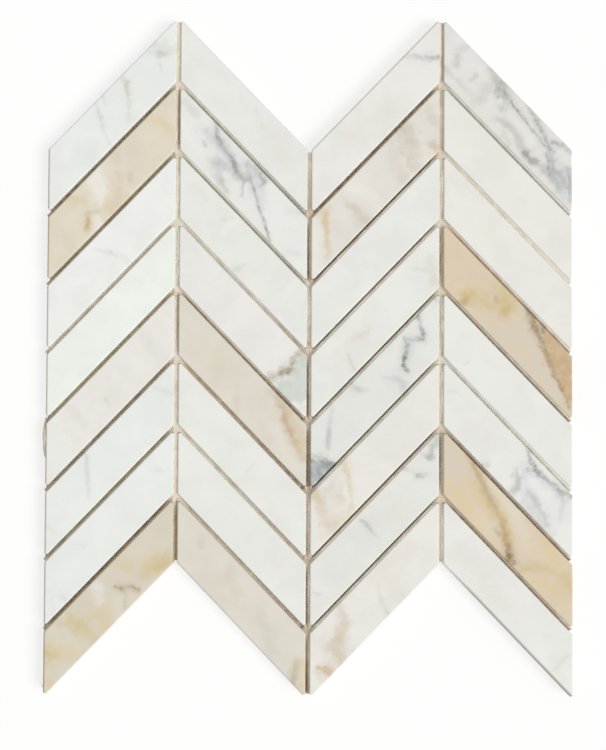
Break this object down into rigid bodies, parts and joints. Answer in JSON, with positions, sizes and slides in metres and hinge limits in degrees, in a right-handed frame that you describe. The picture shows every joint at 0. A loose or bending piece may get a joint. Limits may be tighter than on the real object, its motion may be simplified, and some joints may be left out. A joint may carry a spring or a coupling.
{
  "type": "chevron mosaic wall tile",
  "caption": "Chevron mosaic wall tile: slanted marble chips in zigzag columns, bonded with open joints to a coated mesh backing cut to the same zigzag outline.",
  "frame": {"origin": "under the middle of the sheet, on the underside of the mesh backing", "axes": "+X across the columns, +Y up the wall along the column joints, +Z out of the polished face"},
  "size_m": [0.3024, 0.3878, 0.0095],
  "materials": {
    "white_marble": "polished",
    "grey_veined_marble": "polished",
    "beige_marble": "polished",
    "gold_marble": "polished",
    "coated_mesh": "resin-coated net"
  },
  "bodies": {
    "root": {"mesh_backing": "coated_mesh", "chip_column1_row1": "grey_veined_marble", "chip_column1_row2": "gold_marble", "chip_column1_row3": "white_marble", "chip_column1_row4": "white_marble", "chip_column1_row5": "beige_marble", "chip_column1_row6": "white_marble", "chip_column1_row7": "white_marble", "chip_column1_row8": "gold_marble", "chip_column2_row1": "white_marble", "chip_column2_row2": "grey_veined_marble", "chip_column2_row3": "white_marble", "chip_column2_row4": "grey_veined_marble", "chip_column2_row5": "gold_marble", "chip_column2_row6": "white_marble", "chip_column2_row7": "white_marble", "chip_column2_row8": "beige_marble", "chip_column3_row1": "grey_veined_marble", "chip_column3_row2": "beige_marble", "chip_column3_row3": "white_marble", "chip_column3_row4": "white_marble", "chip_column3_row5": "grey_veined_marble", "chip_column3_row6": "beige_marble", "chip_column3_row7": "grey_veined_marble", "chip_column3_row8": "beige_marble", "chip_column4_row1": "grey_veined_marble", "chip_column4_row2": "white_marble", "chip_column4_row3": "white_marble", "chip_column4_row4": "gold_marble", "chip_column4_row5": "white_marble", "chip_column4_row6": "grey_veined_marble", "chip_column4_row7": "gold_marble", "chip_column4_row8": "white_marble"}
  },
  "joints": []
}
